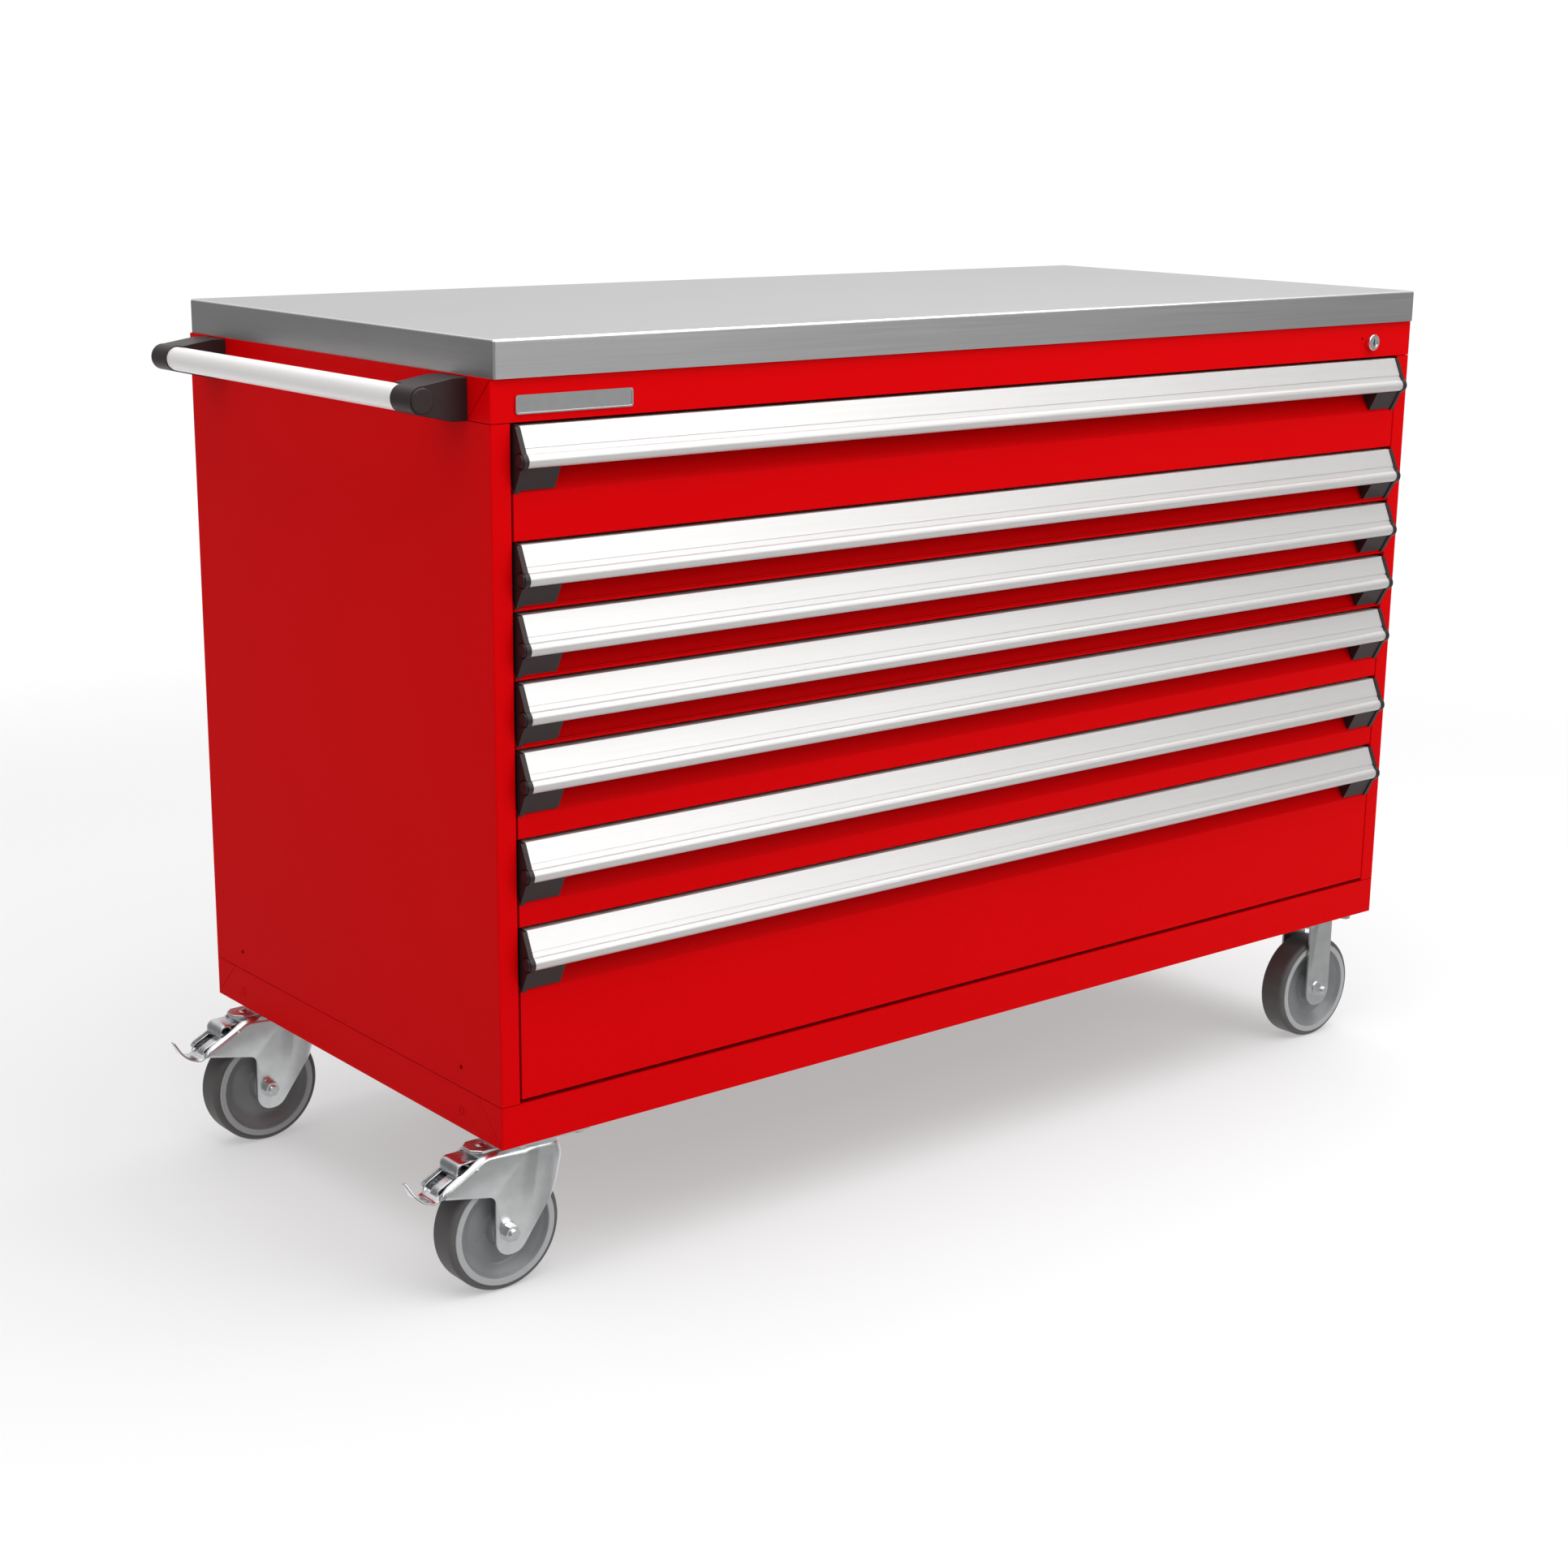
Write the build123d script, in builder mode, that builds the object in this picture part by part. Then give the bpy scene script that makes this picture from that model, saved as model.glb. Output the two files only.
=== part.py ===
from build123d import *
import math
import os

os.makedirs("parts", exist_ok=True)

# Rolling tool chest: a folded-steel housing on four casters, seven drawers behind
# full-width extruded pulls, a stainless worktop and a push handle on the left side.
# Lengths are millimetres. The chest's own datum is the bottom front edge of the
# housing, at the middle of its width: +X to the right, +Y to the back, +Z up.

# ---------------------------------------------------------------- driving sizes
INCH = 25.4
WIDTH = 60 * INCH
DEPTH = 27 * INCH
HEIGHT = 34 * INCH
CASTER_HEIGHT = 190.0
WORKTOP = 41.5

SHEET = 1.2                  # housing and drawer front steel
BEND = 2.0                   # outside radius of a bend
SEAM = 0.8                   # gap where two housing sheets meet
STILE = 25.4                 # face width of the side panels at the front
SILL = 50.8                  # height of the base frame
RAIL_BOTTOM = 816.0          # lower edge of the top rail

DRAWER_HEIGHTS = [5 * INCH, 3 * INCH, 3 * INCH, 3 * INCH, 4 * INCH, 4 * INCH, 8 * INCH]
DRAWER_GAP = 3.0             # between one drawer front and the next
DRAWER_STACK_TOP = 814.8     # middle of the gap over the top drawer
DRAWER_HALF = 734.5          # half the width of a drawer front
BOX_HALF = 723.9             # half the width of a drawer box
BOX_BACK = 622.0
TRAVEL = 580.0               # full extension of a drawer

WHEEL_R = 75.0
WHEEL_WIDTH = 40.0
SWIVEL_OFFSET = 51.0         # axle behind the kingpin
KINGPIN_X = 686.0
RIGID_X = 689.3
CASTER_Y = [55.5, DEPTH - 55.5]

PUSH_HANDLE_X = 819.0        # tube centre from the middle of the chest
PUSH_HANDLE_Z = 840.5
LIP_REACH = 858.1            # outer end of the brake pedals
NOSE_FRONT = 22.2            # how far the drawer pulls stand out

HALF = WIDTH / 2
INNER = HALF - STILE         # edge of the front opening

# The row's origin is on the floor, under the middle of the whole chest's box.
ORIGIN = (
    (LIP_REACH - RIGID_X - WHEEL_R) / 2,
    (NOSE_FRONT - DEPTH) / 2,
    CASTER_HEIGHT,
)
CHEST = Plane(origin=ORIGIN, x_dir=(1, 0, 0), z_dir=(0, 0, 1))
FRONT = Plane(origin=ORIGIN, x_dir=(1, 0, 0), z_dir=(0, -1, 0))
SIDE = Plane(origin=ORIGIN, x_dir=(0, 1, 0), z_dir=(1, 0, 0))


# ---------------------------------------------------------------- shape helpers
def block(x, y, z, mode=Mode.ADD):
    """A box between two x, two y and two z values."""
    with Locations(CHEST.location * Location([(low + high) / 2 for low, high in (x, y, z)])):
        Box(x[1] - x[0], y[1] - y[0], z[1] - z[0], mode=mode)


def sided(sign, low, high):
    """The x range at a distance low to high from the middle, on one side."""
    return tuple(sorted((sign * low, sign * high)))


def slab(plane, points, depth, radii, mode):
    """A closed outline with rounded corners, extruded from its plane."""
    with BuildSketch(plane) as section:
        with BuildLine():
            FilletPolyline(*points, radius=radii, close=True)
        make_face()
    extrude(section.sketch, amount=depth, mode=mode)


def slab_x(points, x, radii=0, mode=Mode.ADD):
    """An outline of (y, z) points between two x values."""
    slab(SIDE.offset(x[0]), points, x[1] - x[0], radii, mode)


def slab_y(points, y, radii=0, mode=Mode.ADD):
    """An outline of (x, z) points between two y values."""
    slab(FRONT.offset(-y[1]), points, y[1] - y[0], radii, mode)


def slab_z(points, z, radii=0, mode=Mode.ADD):
    """An outline of (x, y) points between two z values."""
    slab(CHEST.offset(z[0]), points, z[1] - z[0], radii, mode)


def rectangle(x, y):
    """The corners of a rectangle between two x and two y values."""
    return [(x[0], y[0]), (x[1], y[0]), (x[1], y[1]), (x[0], y[1])]


def rod(plane, centre, radius, depth, mode):
    with BuildSketch(plane) as section:
        with Locations(centre):
            Circle(radius)
    extrude(section.sketch, amount=depth, mode=mode)


def rod_x(y, z, radius, x, mode=Mode.ADD):
    rod(SIDE.offset(x[0]), (y, z), radius, x[1] - x[0], mode)


def rod_y(x, z, radius, y, mode=Mode.ADD):
    rod(FRONT.offset(-y[1]), (x, z), radius, y[1] - y[0], mode)


def rod_z(x, y, radius, z, mode=Mode.ADD):
    rod(CHEST.offset(z[0]), (x, y), radius, z[1] - z[0], mode)


def ring_x(y, z, radii, x, mode=Mode.ADD):
    """A ring between two radii, along X."""
    with BuildSketch(SIDE.offset(x[0])) as section:
        with Locations((y, z)):
            Circle(radii[1])
            Circle(radii[0], mode=Mode.SUBTRACT)
    extrude(section.sketch, amount=x[1] - x[0], mode=mode)


def hexagon(plane, centre, across, depth):
    """A hexagon bar, given its size across flats."""
    with BuildSketch(plane) as section:
        with Locations(centre):
            RegularPolygon(across / 2, 6, major_radius=False)
    extrude(section.sketch, amount=depth)


def hex_y(x, z, across, y):
    hexagon(FRONT.offset(-y[1]), (x, z), across, y[1] - y[0])


def hex_z(x, y, across, z):
    hexagon(CHEST.offset(z[0]), (x, y), across, z[1] - z[0])


def strip(plane, points, depth, thickness, bend):
    """A folded strip, from the middle line of its edge, with rounded bends."""
    with BuildSketch(plane) as section:
        with BuildLine():
            FilletPolyline(*points, radius=bend)
        trace(line_width=thickness)
    extrude(section.sketch, amount=depth)


def strip_x(points, x, thickness, bend):
    strip(SIDE.offset(x[0]), points, x[1] - x[0], thickness, bend)


def strip_y(points, y, thickness, bend):
    strip(FRONT.offset(-y[1]), points, y[1] - y[0], thickness, bend)


def strip_z(points, z, thickness, bend):
    strip(CHEST.offset(z[0]), points, z[1] - z[0], thickness, bend)


# ---------------------------------------------------------------- drawer places
def drawer_places():
    """The lowest and highest z of each drawer front, from the top drawer down."""
    places = []
    top = DRAWER_STACK_TOP
    for height in DRAWER_HEIGHTS:
        places.append((top - height + DRAWER_GAP / 2, top - DRAWER_GAP / 2))
        top -= height
    return places


DRAWERS = drawer_places()
SLIDE_DROP = 42.0            # slide centre below the top of its drawer front
SLIDE_Y = (24.0, 604.0)

# Bolts that hold the caster plates to the base frame.
PLATE_HALF_X = 52.5
PLATE_HALF_Y = 48.5
PLATE_THICK = 5.0
BOLT_X = 40.0
BOLT_Y = 36.0
BOLT_R = 4.0
BOLT_HOLE_R = 4.3
CASTER_PLACES = [
    (-KINGPIN_X, CASTER_Y[0]),
    (-KINGPIN_X, CASTER_Y[1]),
    (RIGID_X, CASTER_Y[0]),
    (RIGID_X, CASTER_Y[1]),
]


def caster_bolt_places():
    for x, y in CASTER_PLACES:
        for sx in (-1, 1):
            for sy in (-1, 1):
                yield x + sx * BOLT_X, y + sy * BOLT_Y


# The push handle's front bracket, the cap on its tube's end, and their bolts.
BRACKET_Y = (44.0, 95.0)
BRACKET_Z = (816.0, 862.4)
TUBE_CAP_Y = (42.0, 81.0)
BRACKET_BOLT_Z = (828.0, 851.0)
BRACKET_BOLT_Y = [72.0, DEPTH - 72.0]

LOCK_X, LOCK_Z = 675.8, 837.6
LOCK_PROUD = 7.4             # how far the barrel stands out of the rail
LOCK_DOT = (657.7, 842.9)
BADGE_X = (-731.0, -578.7)
BADGE_Z = (825.0, 845.5)
PANEL_SCREW_Y = [84.7, 613.2]
PANEL_SCREW_Z = 75.0
BASE_PLUG_Z = 21.5
TAB_DEPTH = 47.0             # how far the top rail's corner tabs reach back
POSTS_Y = [(52.0, 90.0), (320.0, 358.0), (580.0, 618.0)]


# ---------------------------------------------------------------- housing
def side_panel(sign, name):
    """Folded side: front stile, side face and back return, with slide posts welded in."""
    mid = SHEET / 2
    with BuildPart() as panel:
        path = [
            (sign * (INNER + mid), 22),
            (sign * (INNER + mid), mid),
            (sign * (HALF - mid), mid),
            (sign * (HALF - mid), DEPTH - mid),
            (sign * (HALF - 22), DEPTH - mid),
        ]
        strip_z(path, (SILL, HEIGHT), SHEET, BEND - mid)
        for y0, y1 in POSTS_Y:
            post = [
                (sign * (HALF - SHEET), y0 + mid),
                (sign * (INNER + mid), y0 + mid),
                (sign * (INNER + mid), y1 - mid),
                (sign * (HALF - SHEET), y1 - mid),
            ]
            strip_z(post, (SILL + 1, RAIL_BOTTOM - 4), SHEET, BEND - mid)
        corner = [(-1, RAIL_BOTTOM), (TAB_DEPTH, RAIL_BOTTOM), (-1, HEIGHT + 1)]
        slab_x(corner, sided(sign, HALF - 30, HALF + 1), mode=Mode.SUBTRACT)
        block(
            sided(sign, INNER - 1, HALF - SHEET),
            (-1, TAB_DEPTH + 3),
            (RAIL_BOTTOM, HEIGHT + 1),
            mode=Mode.SUBTRACT,
        )
        for y in PANEL_SCREW_Y:
            rod_x(y, PANEL_SCREW_Z, 2.6, sided(sign, HALF - 3, HALF + 1), mode=Mode.SUBTRACT)
        if sign < 0:
            for y in BRACKET_BOLT_Y:
                for z in BRACKET_BOLT_Z:
                    rod_x(y, z, BOLT_HOLE_R, (-HALF - 1, -HALF + 3), mode=Mode.SUBTRACT)
    panel.part.label = name
    export_step(panel.part, "parts/" + name + ".step")


def back_panel():
    """Flat back sheet inside the side panels' returns, with three pressed-in fields."""
    back = DEPTH - SHEET - 0.1
    half = HALF - SHEET - 1.2
    field_half, press = 215.0, 4.0
    with BuildPart() as panel:
        block((-half, half), (back - SHEET, back), (SILL, HEIGHT - SHEET - 0.3))
        for x in (-470.0, 0.0, 470.0):
            outer = rectangle((x - field_half, x + field_half), (120, 790))
            inside = field_half - SHEET
            inner = rectangle((x - inside, x + inside), (120 + SHEET, 790 - SHEET))
            slab_y(outer, (back - SHEET - press, back - SHEET), 18)
            slab_y(inner, (back - press, back + 1), 16.8, mode=Mode.SUBTRACT)
    panel.part.label = "back_panel"
    export_step(panel.part, "parts/back_panel.step")


def housing_top():
    """Top sheet and front rail in one: the rail wraps round both front corners."""
    with BuildPart() as top:
        block((-HALF, HALF), (0, 60), (RAIL_BOTTOM + SEAM, HEIGHT))
        corners = top.edges().filter_by(Axis.Z).group_by(Axis.Y)[0]
        brow = top.faces().sort_by(Axis.Y)[0].edges().sort_by(Axis.Z)[-1]
        fillet([*corners, brow], radius=BEND)
        block((-HALF + SHEET, HALF - SHEET), (SHEET, 61), (RAIL_BOTTOM, HEIGHT - SHEET), Mode.SUBTRACT)
        cut = [
            (TAB_DEPTH - SEAM, RAIL_BOTTOM),
            (61, RAIL_BOTTOM),
            (61, HEIGHT + 1),
            (-1, HEIGHT + 1),
            (-1, HEIGHT - SEAM),
        ]
        for sign in (-1, 1):
            slab_x(cut, sided(sign, HALF - SHEET - 0.05, HALF + 1), mode=Mode.SUBTRACT)
        block((-HALF + 1.5, HALF - 1.5), (30, DEPTH - 4), (HEIGHT - SHEET, HEIGHT))
        block((-INNER + 2, INNER - 2), (0.5, 25), (RAIL_BOTTOM + SEAM, RAIL_BOTTOM + SEAM + SHEET))
        rod_y(LOCK_X, LOCK_Z, 9.6, (-1, 3), mode=Mode.SUBTRACT)
        rod_y(*LOCK_DOT, 1.6, (-1, 3), mode=Mode.SUBTRACT)
    top.part.label = "housing_top"
    export_step(top.part, "parts/housing_top.step")


def base_frame():
    """Welded base: floor pan, four walls and an inward flange the panels stand on."""
    wall, lip_in, top = 2.0, 24.0, SILL - SEAM
    groove, groove_depth = 0.6, 0.6
    with BuildPart() as base:
        block((-HALF, HALF), (0, DEPTH), (0, top))
        fillet(base.edges().filter_by(Axis.Z), radius=BEND)
        block((-HALF + wall, HALF - wall), (wall, DEPTH - wall), (wall, top - wall), Mode.SUBTRACT)
        block(
            (-HALF + lip_in, HALF - lip_in),
            (lip_in, DEPTH - lip_in),
            (top - wall - 1, top + 1),
            mode=Mode.SUBTRACT,
        )
        for sign in (-1, 1):
            x = sided(sign, HALF - groove_depth, HALF + 1)
            front = [(-1, -1), (-1 + groove, -1), (top + groove, top + 1), (top, top + 1)]
            rear = [(DEPTH - y, z) for y, z in front]
            slab_x(front, x, mode=Mode.SUBTRACT)
            slab_x(rear, x, mode=Mode.SUBTRACT)
            for y in PANEL_SCREW_Y:
                ring_x(y, BASE_PLUG_Z, (4.2, 5.2), x, mode=Mode.SUBTRACT)
        for x, y in caster_bolt_places():
            rod_z(x, y, BOLT_HOLE_R, (-1, wall + 1), mode=Mode.SUBTRACT)
    base.part.label = "base_frame"
    export_step(base.part, "parts/base_frame.step")


def worktop():
    """Wood core under a stainless skin that wraps over all four edges."""
    side, overhang, skin, edge = HALF - 2.5, 4.8, 1.2, 3.0
    low, high = HEIGHT, HEIGHT + WORKTOP
    with BuildPart() as cover:
        block((-side, side), (-overhang, DEPTH), (low, high))
        fillet(cover.edges().filter_by(Axis.Z), radius=edge)
        fillet(cover.faces().sort_by(Axis.Z)[-1].edges(), radius=edge)
        inside = rectangle((-side + skin, side - skin), (-overhang + skin, DEPTH - skin))
        slab_z(inside, (low - 1, high - skin), edge - skin, mode=Mode.SUBTRACT)
    cover.part.label = "worktop_skin"
    export_step(cover.part, "parts/worktop_skin.step")
    gap = 0.1
    with BuildPart() as core:
        inset = skin + gap
        block(
            (-side + inset, side - inset),
            (-overhang + inset, DEPTH - inset),
            (low, high - skin - gap),
        )
        fillet(core.edges().filter_by(Axis.Z), radius=edge - skin)
    core.part.label = "worktop_core"
    export_step(core.part, "parts/worktop_core.step")


def fixed_slides():
    """The slide members screwed to the posts, one at each side of every drawer."""
    with BuildPart() as rails:
        for _, top in DRAWERS:
            z = top - SLIDE_DROP
            for sign in (-1, 1):
                path = [
                    (sign * 726.6, z + 17),
                    (sign * 726.6, z + 21.9),
                    (sign * (INNER - 0.6), z + 21.9),
                    (sign * (INNER - 0.6), z - 21.9),
                    (sign * 726.6, z - 21.9),
                    (sign * 726.6, z - 17),
                ]
                strip_y(path, SLIDE_Y, SHEET, 0.9)
    rails.part.label = "fixed_slides"
    export_step(rails.part, "parts/fixed_slides.step")


# ---------------------------------------------------------------- push handle
def push_handle():
    """Aluminium tube in two moulded end brackets on the left side."""
    tube_r, cap_r, button_r, blind = 14.3, 15.6, 14.0, 8.0
    with BuildPart() as tube:
        ends = (TUBE_CAP_Y[0] + blind + 0.5, DEPTH - TUBE_CAP_Y[0] - blind - 0.5)
        rod_y(-PUSH_HANDLE_X, PUSH_HANDLE_Z, tube_r, ends)
        rod_y(-PUSH_HANDLE_X, PUSH_HANDLE_Z, tube_r - 2, (ends[0] - 1, ends[1] + 1), Mode.SUBTRACT)
    tube.part.label = "push_handle_tube"
    export_step(tube.part, "parts/push_handle_tube.step")

    with BuildPart() as brackets:
        for rear in (False, True):

            def span(low, high):
                """A y range of the front bracket, or its mirror image at the rear."""
                return (DEPTH - high, DEPTH - low) if rear else (low, high)

            arm = span(*BRACKET_Y)
            outer_end = -1 if rear else 0
            with BuildPart() as bracket:
                with BuildSketch(FRONT.offset(-arm[1])):
                    with Locations((-HALF - 9.1, (BRACKET_Z[0] + BRACKET_Z[1]) / 2)):
                        Rectangle(18.0, BRACKET_Z[1] - BRACKET_Z[0])
                    with Locations((-PUSH_HANDLE_X, PUSH_HANDLE_Z)):
                        Circle(cap_r)
                    make_hull()
                extrude(amount=arm[1] - arm[0])
                rim = bracket.faces().sort_by(Axis.Y)[outer_end].edges().sort_by(Axis.X)[:-1]
                fillet(rim, radius=1.0)
                shown = span(TUBE_CAP_Y[1], BRACKET_Y[1] + 1)
                block((-PUSH_HANDLE_X - 20, -PUSH_HANDLE_X), shown, (800, 880), Mode.SUBTRACT)
                rod_y(-PUSH_HANDLE_X, PUSH_HANDLE_Z, cap_r, span(*TUBE_CAP_Y))
                button = span(TUBE_CAP_Y[0] - 2, TUBE_CAP_Y[0] + 1)
                rod_y(-PUSH_HANDLE_X, PUSH_HANDLE_Z, button_r, button)
                fillet(bracket.faces().sort_by(Axis.Y)[outer_end].edges(), radius=1.8)
                bore = span(TUBE_CAP_Y[0] + blind, BRACKET_Y[1] + 1)
                rod_y(-PUSH_HANDLE_X, PUSH_HANDLE_Z, tube_r + 0.05, bore, mode=Mode.SUBTRACT)
                for z in BRACKET_BOLT_Z:
                    rod_x(
                        BRACKET_BOLT_Y[1 if rear else 0],
                        z,
                        BOLT_R + 0.05,
                        (-HALF - 16, -HALF + 1),
                        mode=Mode.SUBTRACT,
                    )
            add(bracket.part)
    brackets.part.label = "push_handle_brackets"
    export_step(brackets.part, "parts/push_handle_brackets.step")


# ---------------------------------------------------------------- lock and badge
CRANK_R = 4.0 * math.sqrt(2)         # crank pin from the plug's axis
CRANK_PIN_R = 2.0
BAR_STROKE = 8.0
BAR_X = (741.0, 744.0)
BAR_Y = (28.0, 48.0)
FINGER_Y = (33.0, 37.0)
TAB_Y = (39.0, 42.0)
TAB_DROP = (18.5, 12.5)              # drawer's lock tab below the top of its front


def lock():
    """Cam lock in the top rail; its crank pin drives the bar that holds the drawers."""
    with BuildPart() as barrel:
        rod_y(LOCK_X, LOCK_Z, 11.0, (-LOCK_PROUD, 0))
        fillet(barrel.faces().sort_by(Axis.Y)[0].edges(), radius=1.2)
        rod_y(LOCK_X, LOCK_Z, 9.5, (-1, 24))
        hex_y(LOCK_X, LOCK_Z, 24, (SHEET, 5.5))
        rod_y(LOCK_X, LOCK_Z, 7.05, (-LOCK_PROUD - 1, 25), mode=Mode.SUBTRACT)
    barrel.part.label = "lock_barrel"
    export_step(barrel.part, "parts/lock_barrel.step")

    with BuildPart() as plug:
        rod_y(LOCK_X, LOCK_Z, 7.0, (-LOCK_PROUD + 0.5, 26))
        keyway = (-LOCK_PROUD, 2)
        block((LOCK_X - 0.9, LOCK_X + 0.9), keyway, (LOCK_Z - 4.6, LOCK_Z + 4.6), Mode.SUBTRACT)
        block((LOCK_X - 1.9, LOCK_X), keyway, (LOCK_Z - 2.6, LOCK_Z + 0.4), Mode.SUBTRACT)
        rod_y(LOCK_X, LOCK_Z, 10.0, (25.0, 28.5))
        pin = CRANK_R / math.sqrt(2)
        rod_y(LOCK_X + pin, LOCK_Z + pin, CRANK_PIN_R, (28, 34))
    plug.part.label = "lock_plug"
    export_step(plug.part, "parts/lock_plug.step")

    with BuildPart() as bar:
        crank_z = LOCK_Z + CRANK_R / math.sqrt(2)
        block(BAR_X, BAR_Y, (60, crank_z + 8))
        block((LOCK_X - 12, BAR_X[1]), (30, 33), (crank_z - 8, crank_z + 8))
        slot = (CRANK_PIN_R + 0.6, CRANK_PIN_R + 3)
        block(
            (LOCK_X + 3 - slot[1], LOCK_X + 5 + slot[1]),
            (29, 34),
            (crank_z - slot[0], crank_z + slot[0]),
            mode=Mode.SUBTRACT,
        )
        for _, top in DRAWERS:
            z = (top - TAB_DROP[0] + BAR_STROKE, top - TAB_DROP[1] + BAR_STROKE)
            block((726.5, BAR_X[0] + 1), FINGER_Y, z)
    bar.part.label = "lock_bar"
    export_step(bar.part, "parts/lock_bar.step")


def badge_plate():
    """Plain chromed plate with a raised border and nothing written on it."""
    with BuildPart() as badge:
        block(BADGE_X, (-2.0, 0), BADGE_Z)
        fillet(badge.edges().filter_by(Axis.Y), radius=3.0)
        border = 1.6
        field = rectangle(
            (BADGE_X[0] + border, BADGE_X[1] - border),
            (BADGE_Z[0] + border, BADGE_Z[1] - border),
        )
        slab_y(field, (-3, -1.3), 2.0, mode=Mode.SUBTRACT)
    badge.part.label = "badge_plate"
    export_step(badge.part, "parts/badge_plate.step")


# ---------------------------------------------------------------- casters
AXLE_Z = WHEEL_R - CASTER_HEIGHT
FORK_IN, FORK_OUT = 23.2, 26.2       # inner and outer face of a fork leg
FORK_TOP = -12.5
AXLE_R = 6.0
PEDAL_PIN = (-90.0, -31.0)           # from the kingpin, x and z


def wheel_axis(x, y):
    return Axis((ORIGIN[0] + x, ORIGIN[1] + y, ORIGIN[2] + AXLE_Z), (0, 1, 0))


def wheel(x, y, prefix):
    """Moulded core with a dished web and a rim ring, and the tyre bonded round it."""
    plane = Plane(origin=(ORIGIN[0] + x, ORIGIN[1] + y, ORIGIN[2] + AXLE_Z), z_dir=(0, 0, 1))
    tread = WHEEL_WIDTH / 2
    with BuildPart() as tyre:
        with BuildSketch(plane) as profile:
            section = [
                (66.0, -tread + 0.6),
                (67.7, -tread + 0.6),
                (67.7, -tread),
                (WHEEL_R, -tread),
                (WHEEL_R, tread),
                (67.7, tread),
                (67.7, tread - 0.6),
                (66.0, tread - 0.6),
            ]
            with BuildLine():
                FilletPolyline(*section, radius=[0, 0, 0, 6.5, 6.5, 0, 0, 0], close=True)
            make_face()
        revolve(profile.sketch, axis=wheel_axis(x, y))
    tyre.part.label = prefix + "_tyre"
    export_step(tyre.part, "parts/" + prefix + "_tyre.step")

    with BuildPart() as core:
        with BuildSketch(plane) as profile:
            half = [
                (AXLE_R + 0.05, 22.6),
                (18.5, 22.6),
                (20.5, 8.0),
                (44.0, 7.0),
                (56.0, 16.0),
                (60.0, 21.4),
                (67.5, 21.4),
                (67.5, tread - 0.5),
                (66.0, tread - 0.5),
            ]
            section = half + [(r, -w) for r, w in reversed(half)]
            soft = [0, 1.5, 5, 9, 6, 1.2, 1.2, 0, 0]
            with BuildLine():
                FilletPolyline(*section, radius=soft + soft[::-1], close=True)
            make_face()
        revolve(profile.sketch, axis=wheel_axis(x, y))
    core.part.label = prefix + "_wheel"
    export_step(core.part, "parts/" + prefix + "_wheel.step")


def axle_bolt(x, y):
    """Hex bolt through the wheel: head at the back leg, nut on the front leg."""
    rod_y(x, AXLE_Z, AXLE_R, (y - FORK_OUT - 13.5, y + FORK_OUT + 1))
    chamfer(faces().sort_by(Axis.Y)[0].edges(), length=1.2)
    rod_y(x, AXLE_Z, 11.5, (y - FORK_OUT - 1.6, y - FORK_OUT))
    hex_y(x, AXLE_Z, 18, (y - FORK_OUT - 10.5, y - FORK_OUT - 1.6))
    rod_y(x, AXLE_Z, 11.5, (y + FORK_OUT, y + FORK_OUT + 1.6))
    hex_y(x, AXLE_Z, 18, (y + FORK_OUT + 1.6, y + FORK_OUT + 9))


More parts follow.
